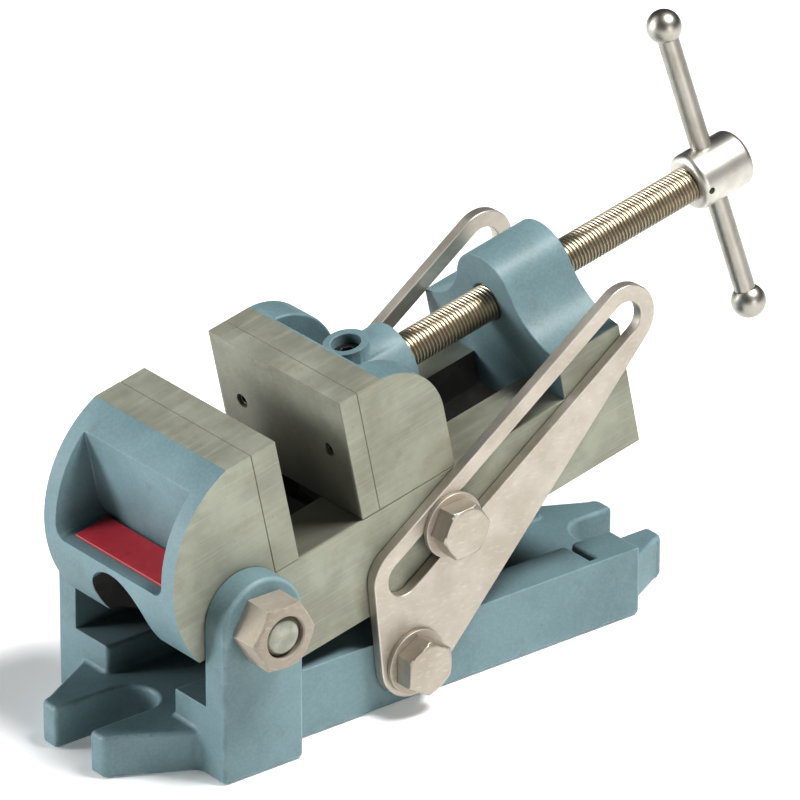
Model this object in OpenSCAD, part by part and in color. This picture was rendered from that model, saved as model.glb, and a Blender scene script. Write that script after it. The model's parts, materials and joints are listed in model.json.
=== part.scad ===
// Angle vise: a tilting screw vise on a slotted base, held by a slotted arm on each side.
// Millimetres, +Z up. The origin lies on the base's bottom face, under the tilt pivot.
// +X runs from the fixed jaw to the handle, +Y from the near side to the far side.

/* [Tilt] */
// Angle of the bed above the horizontal, as posed
tilt = 12; // [0:1:90]
// Height of the tilt pivot above the bench
pivot_h = 58.7; // [54:0.1:75]
// Diameter of the pivot bolt
pivot_d = 16; // [10:0.5:18]

/* [Jaws] */
// Width of the jaws and of the tilting body
jaw_w = 76; // [66:1:110]
// Height of the jaw tops above the pivot axis
jaw_top = 58.8; // [50:0.1:75]
// Height of the bed above the pivot axis
bed_z = 8.4; // [4:0.1:14]
// Distance of the fixed jaw's face from the pivot axis
fixed_face_x = 27; // [22:0.5:40]
// Gap between the jaw faces, as posed
opening = 29; // [10:1:60]
// Thickness of the fixed jaw's plate
fixed_plate_t = 11; // [5:0.5:12]
// Thickness of the moving jaw's plate
moving_plate_t = 8; // [5:0.5:12]
// Distance of a jaw plate's screws from the plate's ends
plate_screw_edge = 13; // [9:0.5:20]
// Diameter of a jaw plate screw's head
plate_screw_head_d = 4.8; // [4.5:0.1:9]
// Diameter of a jaw plate screw's thread
plate_screw_d = 3; // [2.5:0.5:4]
// Height of a jaw plate screw's head
plate_screw_head_h = 4; // [2:0.5:4]
// Depth of a jaw plate screw's head below the jaw face
plate_screw_sink = 1; // [0.5:0.1:1]

/* [Tilting body] */
// Radius of the round nose
nose_r = 47.5; // [44:0.5:52]
// Distance of the nose's centre from the pivot axis, along the bed
nose_x = 19.6; // [16:0.2:24]
// Height of the nose's centre above the pivot axis
nose_z = 13.7; // [8:0.1:18]
// Height of the nose's lower edge below the pivot axis
nose_drop = 9; // [6:0.5:12]
// Width of the flat edge under the nose
nose_lip = 3; // [1:0.5:6]
// Width of the rim at each side of the nose pocket
rim_w = 7; // [5:0.5:12]
// Distance of the pocket's back wall in front of the pivot axis
pocket_back = 7; // [5:0.5:10]
// Height of the pocket's floor above the pivot axis
pocket_floor = 18.6; // [17.5:0.1:24]
// Radius of the pocket's corners
pocket_r = 5; // [2:0.5:8]
// Width of the arch under the nose
arch_w = 30; // [20:1:36]
// Thickness of metal between the arch and the seat of the fixed jaw's plate
arch_wall = 5; // [4:0.5:8]
// Height of the arch's crown above the pivot axis
arch_top = 15.5; // [8:0.5:15.5]
// Distance of the body's rear end from the pivot axis
body_end = 179.4; // [170:0.2:200]
// Depth of the body's front part below the pivot axis
front_depth = 30.8; // [26:0.1:31]
// Depth of the rails below the pivot axis
rail_depth = 25.3; // [21:0.1:26]
// Distance of the front part's lower edge behind the pivot axis
belly_x = 10; // [6:0.5:16]
// Distance of the step under the body in front of the clamp bolt
step_lead = 27; // [20:0.5:32]
// Length of the sloping step under the body
step_l = 8; // [4:0.5:12]
// Thickness of the bed's flange
bed_t = 14; // [10:0.5:16]
// Width of the slot between the rails
rail_slot_w = 28; // [18:1:34]
// Thickness of the side walls under the bed
side_t = 13; // [10:0.5:16]
// Length of the nut block at the rear
block_l = 29; // [20:0.5:32]
// Height of the nut block's shoulders above the pivot axis
shoulder_z = 25.5; // [22:0.1:28]
// Radius of the nut block's crown
crown_r = 16; // [15:0.5:18]
// Height of the crown's centre above the screw's axis
crown_rise = 3.8; // [2:0.1:5]
// Radius of the hollow flare between crown and shoulder
flare_r = 26; // [20:1:28]

/* [Moving jaw] */
// Thickness of the jaw's front wall behind its plate
jaw_wall = 12; // [9:0.5:16]
// Length of the jaw's cheeks behind its plate
cheek_l = 35; // [28:0.5:40]
// Radius of the cheeks' round backs
cheek_r = 25.5; // [15:0.5:27]
// Thickness of a cheek
cheek_t = 14; // [8:0.5:18]
// Thickness of the jaw's sole on the bed
sole_t = 8; // [5:0.5:9]
// Radius of the screw boss
boss_r = 14; // [11:0.5:16]
// Reach of the screw boss behind the cheeks
boss_reach = 8; // [2:0.5:10]
// Radius of the upright boss for the retaining screw
oil_boss_r = 8.5; // [8:0.5:11]
// Distance of the upright boss's axis in front of the cheeks' backs
oil_boss_lead = 11; // [10:0.5:14]
// Height of the upright boss's top above the screw's axis
oil_boss_h = 16.8; // [15.5:0.1:19]
// Thickness of the web under the screw boss
web_t = 12; // [8:0.5:20]
// Clearance of the keeper plate from the walls under the bed
keeper_side_gap = 3; // [1:0.5:6]
// Thickness of the keeper plate
keeper_t = 6; // [4:0.5:8]
// Length of the jaw's tongue between the rails
tongue_l = 30; // [24:1:34]
// Diameter of a keeper screw's thread
keeper_screw_d = 6; // [4:0.5:8]
// Length of a keeper screw below its head
keeper_screw_l = 18; // [14:1:20]
// Diameter of a keeper screw's head
keeper_head_d = 10; // [9:0.5:12]
// Height of a keeper screw's head
keeper_head_h = 4; // [3:0.5:5]
// Distance between the two keeper screws
keeper_pitch = 15; // [13:0.5:16]

/* [Screw and handle] */
// Height of the screw's axis above the pivot axis
screw_z = 35.2; // [34:0.1:37]
// Diameter of the screw's thread
screw_d = 13.5; // [12:0.5:16]
// Diameter of the screw's journal in the moving jaw
journal_d = 11; // [9:0.5:11]
// Depth of the groove round the journal
groove_d = 1.5; // [1:0.1:2]
// Width of the groove round the journal
groove_w = 5; // [4.5:0.1:7]
// Diameter of the retaining screw in the upright boss
retainer_d = 11; // [8:0.5:12]
// Diameter of the retaining screw's tip in the groove
retainer_tip_d = 4; // [3:0.1:4]
// Depth of the retaining screw's top below the boss's top
retainer_sink = 4; // [2:0.5:5]
// Distance of the handle's axis behind the fixed jaw's face, as posed
handle_x = 230; // [220:1:240]
// Diameter of the screw's head
head_d = 22; // [19:0.5:24]
// Length of the screw's head
head_l = 24; // [20:0.5:27]
// Distance of the handle's axis behind the head's front face
head_hole_x = 10.5; // [8:0.5:12]
// Width of the head's rounded ends
head_edge = 2.5; // [1:0.5:4]
// Diameter of the screw's spigot inside the head
spigot_d = 8; // [7:0.5:9]
// Length of the screw's spigot inside the head
spigot_l = 5.5; // [4.5:0.5:5.5]
// Diameter of the pin through head and spigot
head_pin_d = 2.5; // [2:0.1:3]
// Diameter of the handle bar
bar_d = 8; // [6:0.5:9]
// Distance between the centres of the handle's balls
bar_l = 113; // [90:1:130]
// Diameter of the handle's balls
ball_d = 13; // [12:0.5:16]
// Shift of the bar through the head, as posed
bar_shift = 3; // [0:0.5:8]
// Turn of the bar from upright, as posed
bar_turn = 11.8; // [0:0.1:45]

/* [Base] */
// Height of the base's side walls
wall_h = 27.5; // [24:0.1:27.5]
// Thickness of the base's side walls
wall_t = 18.5; // [15:0.5:24]
// Thickness of the floor and of the mounting lugs
lug_t = 16.5; // [12:0.5:20]
// Distance of the walls' rear end from the pivot axis
wall_end = 182; // [170:1:200]
// Half length of an ear, and its radius round the pivot
ear_r = 17.8; // [15:0.1:18]
// Thickness of an ear
ear_t = 10.8; // [8:0.1:14]
// Width of the mounting slots
mount_slot_w = 20; // [12:0.5:22]
// Distance of the front lug's tips from the pivot axis
front_tip = 48; // [44:0.5:55]
// Distance of the front slot's centre of closed end from the pivot axis
front_slot_x = 22.5; // [20:0.5:28]
// Half width of the front lug at its tips
front_tip_y = 20; // [16:0.5:24]
// Half width of the front lug at its root
front_root_y = 35; // [30:0.5:37]
// Distance of the rear lug's tips from the pivot axis
rear_tip = 208.5; // [204:0.5:220]
// Distance of the rear slot's centre of closed end from the pivot axis
rear_slot_x = 193; // [188:0.5:196]
// Half width of the rear lug at its tips
rear_tip_y = 20; // [16:0.5:22]
// Half width of the rear lug at its root
rear_root_y = 32.5; // [28:0.5:36]
// Radius of the lugs' tips
tip_r = 4; // [1:0.5:6]
// Distance of the groove across the walls' tops from the pivot axis
groove_x = 162.5; // [140:0.5:175]
// Width of the groove across the walls' tops
wall_groove_w = 2.5; // [1.5:0.1:4]
// Depth of the groove across the walls' tops
wall_groove_d = 7; // [1:0.5:8]
// Distance of that groove's end from the walls' outer faces
wall_groove_end = 4; // [2:0.5:8]

/* [Arms] */
// Distance of the arms' pivot bolt from the tilt pivot, along the base
arm_x = 72.7; // [66:0.1:80]
// Height of the arms' pivot bolt above the bench
arm_z = 18.6; // [17:0.1:22]
// Distance of the clamp bolt from the tilt pivot, along the bed
clamp_x = 89.3; // [86:0.1:94]
// Depth of the clamp bolt below the tilt pivot, square to the bed
clamp_z = 9.5; // [6:0.1:12]
// Distance of the slot's middle line from the arm's pivot
slot_offset = 30.8; // [24:0.1:33]
// Width of the arm's slot
arm_slot_w = 14; // [13.2:0.1:16]
// Place of the slot's lower end along its middle line
slot_start = 16; // [12:0.5:20]
// Place of the slot's upper end along its middle line
slot_end = 140.2; // [132:0.1:150]
// Width of metal round the slot
strip_w = 6.4; // [5:0.1:8]
// Radius of the arm's end round its pivot
arm_end_r = 14.5; // [13:0.1:16]
// Thickness of an arm
arm_t = 4.5; // [3:0.1:6]
// Thread diameter of the arm and clamp bolts
bolt_d = 12.7; // [10:0.1:13]
// Size across flats of the arm and clamp bolts' heads
bolt_af = 19; // [16:0.5:21]
// Height of the arm and clamp bolts' heads
bolt_head_h = 8; // [6:0.5:9]
// Depth of an arm bolt's thread in the base wall
bolt_depth = 14; // [10:0.5:14]
// Diameter of the flat washers
washer_d = 25; // [22:0.5:26]
// Thickness of the flat washers
washer_t = 2; // [1.5:0.1:3]

/* [Pivot hardware] */
// Size across flats of the pivot nut and bolt head
pivot_af = 24; // [20:0.5:27]
// Height of the pivot nut
pivot_nut_h = 13; // [10:0.5:15]
// Height of the pivot bolt's head
pivot_head_h = 10; // [8:0.5:12]
// Depth of the pivot bolt's end inside the nut's face
pivot_end_sink = 0.8; // [0:0.1:2]
// Chamfer at the pivot bolt's end
pivot_end_chamfer = 2.2; // [1:0.1:3]
// Chamfer at the mouth of the pivot nut's thread
nut_mouth = 0.6; // [0.2:0.1:1]
// Inset of the round face of a hexagon head from its flats
hex_face_inset = 1; // [0.2:0.1:1.5]

/* [Label] */
// Distance of the bare label plate's ends from the pocket's round corners
label_end = 0.5; // [0.2:0.1:10]
// Depth of the bare label plate
label_l = 14.5; // [8:0.5:16]
// Thickness of the bare label plate
label_t = 1; // [0.5:0.1:2]
// Distance of the label plate from the pocket's back wall
label_back = 1.5; // [0.5:0.5:4]

/* [Clearances] */
// Radial clearance of a shaft that turns or slides
run_gap = 0.06; // [0.02:0.01:0.1]
// Clearance between flat faces that slide or turn past each other
face_gap = 0.3; // [0.1:0.05:0.4]
// Clearance of the moving jaw on the bed
bed_gap = 0.15; // [0.1:0.05:0.3]
// Radial clearance of a screw or bolt in a plain hole
hole_gap = 0.3; // [0.1:0.05:0.5]

/* [Hidden] */
$fn = 64;
// overshoot of a cut past the face it opens
cut = 1;
// metal left at the bottom of a tapped hole
tap_wall = 2;
// lap of a flat face inside the round face it runs into
lap = 0.02;
paint = "lightsteelblue";
iron = [0.62, 0.63, 0.57];
nickel = [0.83, 0.79, 0.74];
bright = [0.86, 0.85, 0.82];

half_w = jaw_w / 2;
seat_x = fixed_face_x - fixed_plate_t;
moving_face_x = fixed_face_x + opening;
moving_x = moving_face_x + moving_plate_t;
jaw_back_x = moving_x + cheek_l;
boss_end_x = jaw_back_x + boss_reach;
plate_z = (bed_z + jaw_top) / 2;
block_x = body_end - block_l;
crown_z = screw_z + crown_rise;
pocket_half = half_w - rim_w - pocket_r;
label_w = 2 * (pocket_half - label_end);
cavity_half = half_w - side_t;
keeper_w = 2 * (cavity_half - keeper_side_gap);
plate_screw_pitch = jaw_w - 2 * plate_screw_edge;
// length of a jaw plate screw's thread, with metal left behind it in the moving jaw's wall
plate_screw_l = jaw_wall - tap_wall;
cavity_x0 = fixed_face_x + tap_wall;
cavity_x1 = body_end - side_t;
step_x = clamp_x - step_lead;
ear_in = half_w + face_gap;
ear_out = ear_in + ear_t;
arm_in = half_w + face_gap;
arm_out = arm_in + arm_t;
bolt_face = arm_out + washer_t;
// place on the nose's round of its lower edge
nose_low_x = nose_x - sqrt(pow(nose_r, 2) - pow(nose_drop + nose_z, 2));

// closing of the arm linkage: clamp bolt seen from the arm's pivot
clamp_wx = clamp_x * cos(tilt) + clamp_z * sin(tilt);
clamp_wz = pivot_h + clamp_x * sin(tilt) - clamp_z * cos(tilt);
clamp_reach = norm([clamp_wx - arm_x, clamp_wz - arm_z]);
clamp_slide = sqrt(pow(clamp_reach, 2) - pow(slot_offset, 2));
arm_angle = atan2(clamp_wz - arm_z, clamp_wx - arm_x) - atan2(slot_offset, clamp_slide);

head_front_x = fixed_face_x + handle_x - head_hole_x;
handle_cx = head_front_x + head_hole_x;
retainer_x = jaw_back_x - oil_boss_lead;

// places a child given in the tilting body's frame, whose origin is the pivot axis
module on_body() {
    translate([0, 0, pivot_h]) rotate([0, -tilt, 0]) children();
}

// places a child drawn in an arm's plane, its origin at the arm's pivot, against one side
module on_side(side, inner) {
    translate([arm_x, side * inner, arm_z])
        rotate([90, 0, 0])
            scale([1, 1, -side])
                children();
}

// extrudes a side outline, drawn in X and Z, across the width from y0 to y1
module across(y0, y1) {
    translate([0, y1, 0]) rotate([90, 0, 0]) linear_extrude(y1 - y0) children();
}

// cylinder along X from x0 to x1
module along_x(x0, x1, r) {
    translate([x0, 0, 0]) rotate([0, 90, 0]) cylinder(h = x1 - x0, r = r);
}

// cylinder along Y from y0 to y1
module along_y(y0, y1, r) {
    translate([0, y1, 0]) rotate([90, 0, 0]) cylinder(h = y1 - y0, r = r);
}

// hexagon of a given size across flats, its corners off the X axis
module hexagon(af) {
    intersection_for(a = [0, 60, 120]) rotate(a) square([af, 2 * af], center = true);
}

// hexagonal head or nut along Z with its top corners cut to a round face
module hex_block(af, h) {
    face_r = af / 2 - hex_face_inset;
    edge_r = af / sqrt(3) + lap;
    deep = (edge_r - face_r) * tan(30);
    intersection() {
        linear_extrude(h) hexagon(af);
        union() {
            cylinder(h = h - deep, r = af);
            translate([0, 0, h - deep]) cylinder(h = deep, r1 = edge_r, r2 = face_r);
        }
    }
}

// points where the outer tangent leaves circle a and reaches circle b, on the right of a to b
function tangent(a, ra, b, rb) =
    let (d = b - a, len = norm(d), u = d / len, n = [u[1], -u[0]], s = (ra - rb) / len,
         k = u * s + n * sqrt(1 - s * s))
    [a + ra * k, b + rb * k];

// base

module lug_plan(tip, root, tip_y, root_y) {
    inset = sign(tip - root) * tip_r;
    polygon([[root, -root_y], [tip - inset, -tip_y], [tip - inset, tip_y], [root, root_y]]);
    translate([min(tip - inset, tip), tip_r - tip_y])
        square([tip_r, 2 * (tip_y - tip_r)]);
    for (s = [-1, 1])
        translate([tip - inset, s * (tip_y - tip_r)]) circle(tip_r);
}

module mount_slot(x, way) {
    translate([x, 0, -cut]) cylinder(h = lug_t + 2 * cut, d = mount_slot_w);
    translate([way > 0 ? x : x - 2 * front_tip, -mount_slot_w / 2, -cut])
        cube([2 * front_tip, mount_slot_w, lug_t + 2 * cut]);
}

module ear_outline() {
    translate([0, pivot_h]) circle(ear_r);
    translate([-ear_r, 0]) square([2 * ear_r, pivot_h]);
}

module base() {
    color(paint) difference() {
        union() {
            for (s = [-1, 1]) {
                translate([-ear_r, s > 0 ? half_w - wall_t : -half_w, 0])
                    cube([wall_end + ear_r, wall_t, wall_h]);
                across(s > 0 ? ear_in : -ear_out, s > 0 ? ear_out : -ear_in) ear_outline();
                translate([-ear_r, s > 0 ? half_w - cut : -ear_in - cut, 0])
                    cube([2 * ear_r, ear_in - half_w + 2 * cut, wall_h]);
            }
            translate([-ear_r, -half_w, 0]) cube([wall_end + ear_r, jaw_w, lug_t]);
            linear_extrude(lug_t) lug_plan(-front_tip, -ear_r + cut, front_tip_y, front_root_y);
            linear_extrude(lug_t) lug_plan(rear_tip, wall_end - cut, rear_tip_y, rear_root_y);
        }
        mount_slot(-front_slot_x, -1);
        mount_slot(rear_slot_x, 1);
        translate([0, 0, pivot_h]) along_y(-ear_out - cut, ear_out + cut, pivot_d / 2 + hole_gap);
        for (s = [-1, 1]) {
            translate([arm_x, 0, arm_z])
                along_y(s > 0 ? half_w - bolt_depth : -half_w - cut,
                        s > 0 ? half_w + cut : bolt_depth - half_w, bolt_d / 2);
            groove_y = s > 0 ? half_w - wall_t - cut : wall_groove_end - half_w;
            translate([groove_x - wall_groove_w / 2, groove_y, wall_h - wall_groove_d])
                cube([wall_groove_w, wall_t + cut - wall_groove_end, wall_groove_d + cut]);
        }
    }
}

// tilting body

module body_outline() {
    far = nose_x - nose_r - cut;
    intersection() {
        translate([nose_x, nose_z]) circle(nose_r, $fn = 128);
        polygon([
            [far, -nose_drop], [nose_low_x + nose_lip, -nose_drop], [belly_x, -front_depth],
            [seat_x, -front_depth], [seat_x, jaw_top], [far, jaw_top]
        ]);
    }
    polygon([
        [belly_x + cut, -front_depth], [step_x, -front_depth], [step_x + step_l, -rail_depth],
        [body_end, -rail_depth], [body_end, bed_z], [belly_x + cut, bed_z]
    ]);
}

module block_outline() {
    w = crown_r + flare_r;
    flare_z = shoulder_z + flare_r;
    flare_y = sqrt(pow(w, 2) - pow(flare_z - crown_z, 2));
    meet_z = crown_z + (flare_z - crown_z) * crown_r / w;
    foot_y = min(flare_y, half_w);
    translate([0, crown_z]) circle(crown_r);
    translate([-half_w, bed_z - cut]) square([jaw_w, shoulder_z - bed_z + cut]);
    difference() {
        translate([-foot_y, shoulder_z - cut]) square([2 * foot_y, meet_z - shoulder_z + cut]);
        for (s = [-1, 1]) translate([s * flare_y, flare_z]) circle(flare_r + lap, $fn = 128);
    }
}

module nose_pocket() {
    deep = nose_r - nose_x;
    high = jaw_top - pocket_floor;
    translate([-pocket_back - deep, 0, pocket_floor]) {
        for (s = [-1, 1])
            translate([0, s * pocket_half, pocket_r]) along_x(0, deep, pocket_r);
        translate([0, -pocket_half, lap]) cube([deep, 2 * pocket_half, high]);
        translate([0, lap - pocket_half - pocket_r, pocket_r])
            cube([deep, 2 * (pocket_half + pocket_r - lap), high - pocket_r]);
    }
}

// arch under the nose, open past the pivot to the hollow under the bed
module nose_arch() {
    x0 = -nose_r;
    x1 = seat_x - arch_wall;
    r = arch_w / 2;
    way_half = rail_slot_w / 2 - cut;
    low = -2 * front_depth;
    translate([0, 0, arch_top - r]) along_x(x0, x1, r);
    translate([x0, lap - r, low]) cube([x1 - x0, arch_w - 2 * lap, arch_top - r - low]);
    translate([x1 - cut, -way_half, low])
        cube([cavity_x0 - x1 + 2 * cut, 2 * way_half, bed_z - bed_t - cut - low]);
}

module vise_body() {
    color(paint) on_body() difference() {
        union() {
            across(-half_w, half_w) body_outline();
            translate([block_x, 0, 0]) rotate([90, 0, 90]) linear_extrude(block_l) block_outline();
        }
        nose_pocket();
        nose_arch();
        along_y(-half_w - cut, half_w + cut, pivot_d / 2 + run_gap);
        translate([fixed_face_x, -rail_slot_w / 2, -front_depth - cut])
            cube([block_x - fixed_face_x, rail_slot_w, front_depth + bed_z + 2 * cut]);
        translate([cavity_x0, -cavity_half, -front_depth - cut])
            cube([cavity_x1 - cavity_x0, 2 * cavity_half, front_depth + cut + bed_z - bed_t]);
        translate([0, 0, screw_z]) along_x(block_x - cut, body_end + cut, screw_d / 2 + run_gap);
        for (s = [-1, 1]) {
            translate([seat_x, s * plate_screw_pitch / 2, plate_z])
                along_x(-plate_screw_l, cut, plate_screw_d / 2);
            translate([clamp_x, 0, -clamp_z])
                along_y(s > 0 ? cavity_half + tap_wall : -half_w - cut,
                        s > 0 ? half_w + cut : -cavity_half - tap_wall, bolt_d / 2);
        }
    }
}

// jaw plate whose grip face is at x = 0 and whose back is at x = t * way
module jaw_plate(t, way, z0) {
    difference() {
        translate([way > 0 ? 0 : -t, -half_w, z0]) cube([t, jaw_w, jaw_top - z0]);
        for (s = [-1, 1]) translate([0, s * plate_screw_pitch / 2, plate_z]) {
            sink = plate_screw_sink + plate_screw_head_h;
            along_x(way > 0 ? -cut : -sink, way > 0 ? sink : cut, plate_screw_head_d / 2 + hole_gap);
            along_x(-t - cut, t + cut, plate_screw_d / 2 + hole_gap);
        }
    }
}

// pair of jaw plate screws, their heads sunk below a grip face at x = 0
module jaw_screws(t, way) {
    reach = t + plate_screw_l - cut;
    for (s = [-1, 1]) translate([0, s * plate_screw_pitch / 2, plate_z]) mirror([way > 0 ? 0 : 1, 0, 0])
        difference() {
            union() {
                along_x(plate_screw_sink, plate_screw_sink + plate_screw_head_h, plate_screw_head_d / 2);
                along_x(plate_screw_sink, reach, plate_screw_d / 2);
            }
            translate([plate_screw_sink - cut, 0, 0]) rotate([0, 90, 0])
                linear_extrude(cut + plate_screw_head_h / 2) hexagon(plate_screw_head_d / 2);
        }
}

module fixed_jaw_plate() {
    color(iron) on_body() translate([fixed_face_x, 0, 0]) jaw_plate(fixed_plate_t, -1, bed_z);
}

module fixed_jaw_screws() {
    color("dimgray") on_body() translate([fixed_face_x, 0, 0]) jaw_screws(fixed_plate_t, -1);
}

module label_plate() {
    color("firebrick") on_body()
        translate([-pocket_back - label_back - label_l, -label_w / 2, pocket_floor + lap])
            cube([label_l, label_w, label_t]);
}

// moving jaw

module cheek_outline() {
    back = jaw_back_x - cheek_r;
    sole = bed_z + bed_gap;
    translate([moving_x, sole]) square([back - moving_x, jaw_top - sole]);
    translate([moving_x, sole]) square([cheek_l, jaw_top - cheek_r - sole]);
    translate([back, jaw_top - cheek_r]) intersection() {
        circle(cheek_r);
        translate([-cut, -cut]) square(cheek_r + 2 * cut);
    }
}

module moving_jaw() {
    sole = bed_z + bed_gap;
    inner_x = moving_x + jaw_wall;
    inner_y = half_w - cheek_t;
    color(paint) on_body() difference() {
        union() {
            difference() {
                across(-half_w, half_w) cheek_outline();
                translate([inner_x, -inner_y, sole + sole_t])
                    cube([cheek_l, 2 * inner_y, jaw_top]);
            }
            translate([0, 0, screw_z]) along_x(moving_x + cut, boss_end_x, boss_r);
            translate([retainer_x, 0, screw_z]) cylinder(h = oil_boss_h, r = oil_boss_r);
            translate([moving_x + cut, -web_t / 2, sole + cut])
                cube([cheek_l - 2 * cut, web_t, screw_z - sole - cut]);
            translate([moving_x + cut, -rail_slot_w / 2 + face_gap, bed_z - bed_t - bed_gap])
                cube([tongue_l, rail_slot_w - 2 * face_gap, bed_t + 2 * bed_gap + cut]);
        }
        translate([0, 0, screw_z]) along_x(inner_x, boss_end_x + cut, journal_d / 2 + run_gap);
        translate([retainer_x, 0, screw_z]) cylinder(h = oil_boss_h + cut, d = retainer_d);
        for (s = [-1, 1]) {
            translate([moving_x, s * plate_screw_pitch / 2, plate_z])
                along_x(-cut, plate_screw_l, plate_screw_d / 2);
            keeper_spot(s) cylinder(h = keeper_screw_l - keeper_t + cut, d = keeper_screw_d);
        }
    }
}

// places a child at one keeper screw, at the keeper's top face
module keeper_spot(s) {
    translate([moving_x + cut + tongue_l / 2 + s * keeper_pitch / 2, 0, bed_z - bed_t - bed_gap])
        children();
}

module moving_jaw_plate() {
    color(iron) on_body() translate([moving_face_x, 0, 0])
        jaw_plate(moving_plate_t, 1, bed_z + bed_gap);
}

module moving_jaw_screws() {
    color("dimgray") on_body() translate([moving_face_x, 0, 0]) jaw_screws(moving_plate_t, 1);
}

module keeper_plate() {
    color(nickel) on_body() difference() {
        translate([moving_x + cut, -keeper_w / 2, bed_z - bed_t - bed_gap - keeper_t])
            cube([tongue_l, keeper_w, keeper_t]);
        for (s = [-1, 1]) keeper_spot(s) translate([0, 0, -keeper_t - cut])
            cylinder(h = keeper_t + 2 * cut, d = keeper_screw_d + 2 * hole_gap);
    }
}

module keeper_screws() {
    color("dimgray") on_body() for (s = [-1, 1]) keeper_spot(s) translate([0, 0, -keeper_t]) {
        cylinder(h = keeper_screw_l, d = keeper_screw_d);
        mirror([0, 0, 1]) hex_block(keeper_head_d, keeper_head_h);
    }
}

// screw and handle

module retaining_screw() {
    tip_z = journal_d / 2 - groove_d + face_gap;
    body_z = journal_d / 2 + 2 * face_gap;
    top_z = oil_boss_h - retainer_sink;
    color("dimgray") on_body() translate([retainer_x, 0, screw_z]) difference() {
        union() {
            translate([0, 0, tip_z]) cylinder(h = top_z - tip_z, d = retainer_tip_d);
            translate([0, 0, body_z]) cylinder(h = top_z - body_z, d = retainer_d);
        }
        translate([0, 0, top_z - retainer_d / 4]) linear_extrude(retainer_d / 4 + cut)
            hexagon(retainer_d / 2);
    }
}

module lead_screw() {
    tip_x = moving_x + jaw_wall + face_gap;
    color([0.66, 0.60, 0.50]) on_body() translate([0, 0, screw_z]) difference() {
        union() {
            along_x(tip_x, boss_end_x + 2 * cut, journal_d / 2);
            along_x(boss_end_x + face_gap, head_front_x, screw_d / 2);
            along_x(head_front_x - cut, head_front_x + spigot_l, spigot_d / 2);
        }
        difference() {
            along_x(retainer_x - groove_w / 2, retainer_x + groove_w / 2, journal_d);
            along_x(retainer_x - groove_w, retainer_x + groove_w, journal_d / 2 - groove_d);
        }
        translate([head_front_x + spigot_l / 2, 0, 0])
            along_y(-head_d, head_d, head_pin_d / 2);
    }
}

// round bar along X from x = 0 whose ends are rounded to a quarter circle
module round_ended(len, d, edge) {
    rotate([0, 90, 0]) rotate_extrude() {
        square([d / 2 - edge, len]);
        translate([0, edge]) square([d / 2, len - 2 * edge]);
        for (z = [edge, len - edge]) translate([d / 2 - edge, z]) circle(edge);
    }
}

module screw_head() {
    color(bright) on_body() translate([head_front_x, 0, screw_z]) difference() {
        round_ended(head_l, head_d, head_edge);
        along_x(-cut, spigot_l, spigot_d / 2);
        translate([spigot_l / 2, 0, 0]) along_y(-head_d, head_d, head_pin_d / 2);
        translate([head_hole_x, 0, 0]) rotate([-bar_turn, 0, 0])
            translate([0, 0, -head_d]) cylinder(h = 2 * head_d, d = bar_d + 2 * run_gap);
    }
}

module head_pin() {
    color("dimgray") on_body() translate([head_front_x + spigot_l / 2, 0, screw_z])
        along_y(-head_d / 2 + head_edge, head_d / 2 - head_edge, head_pin_d / 2);
}

// places a child in the handle's frame: Z along the bar, the origin at the bar's middle
module on_handle() {
    on_body() translate([handle_cx, 0, screw_z]) rotate([-bar_turn, 0, 0])
        translate([0, 0, bar_shift]) children();
}

module handle_ball(s) {
    color(bright) on_handle() difference() {
        translate([0, 0, s * bar_l / 2]) sphere(d = ball_d);
        cylinder(h = bar_l, d = bar_d, center = true);
    }
}

module handle_bar() {
    color(bright) on_handle() cylinder(h = bar_l, d = bar_d, center = true);
}

module upper_ball() {
    handle_ball(1);
}

module lower_ball() {
    handle_ball(-1);
}

// arms, bolts and washers

module arm_plan() {
    ends = [[[0, 0], arm_end_r], [[slot_end, slot_offset], arm_slot_w / 2 + strip_w],
            [[slot_start, slot_offset], arm_slot_w / 2 + strip_w]];
    difference() {
        union() {
            for (e = ends) translate(e[0]) circle(e[1]);
            polygon([for (i = [0 : 2]) let (a = ends[i], b = ends[(i + 1) % 3])
                each tangent(a[0], a[1] - lap, b[0], b[1] - lap)]);
        }
        circle(bolt_d / 2 + run_gap);
        for (x = [slot_start, slot_end]) translate([x, slot_offset]) circle(arm_slot_w / 2);
        translate([slot_start, slot_offset - arm_slot_w / 2]) square([slot_end - slot_start, arm_slot_w]);
    }
}

module arm(side) {
    color(nickel) on_side(side, arm_in) rotate(arm_angle) linear_extrude(arm_t) arm_plan();
}

module near_arm() {
    arm(-1);
}

module far_arm() {
    arm(1);
}

// places a child at the clamp bolt in an arm's slot
module at_clamp(side, inner) {
    on_side(side, inner) rotate(arm_angle) translate([clamp_slide, slot_offset]) children();
}

module washer(inner_d) {
    difference() {
        cylinder(h = washer_t, d = washer_d);
        translate([0, 0, -cut]) cylinder(h = washer_t + 2 * cut, d = inner_d);
    }
}

// hexagon bolt whose head sits on z = 0 and whose shank goes down
module bolt(shank) {
    hex_block(bolt_af, bolt_head_h);
    translate([0, 0, -shank]) cylinder(h = shank + cut, d = bolt_d);
}

module arm_bolts() {
    color(nickel) for (s = [-1, 1]) on_side(s, bolt_face) bolt(bolt_face - half_w + bolt_depth - cut);
}

module arm_washers() {
    color(nickel) for (s = [-1, 1]) on_side(s, arm_out) washer(bolt_d + 2 * hole_gap);
}

module near_clamp_bolt() {
    color(nickel) at_clamp(-1, bolt_face) bolt(bolt_face - arm_in);
}

module near_clamp_washer() {
    color(nickel) at_clamp(-1, arm_out) washer(bolt_d + 2 * hole_gap);
}

module far_clamp_bolt() {
    color(nickel) at_clamp(1, bolt_face) bolt(bolt_face - arm_in);
}

module far_clamp_washer() {
    color(nickel) at_clamp(1, arm_out) washer(bolt_d + 2 * hole_gap);
}

// pivot hardware

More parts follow.
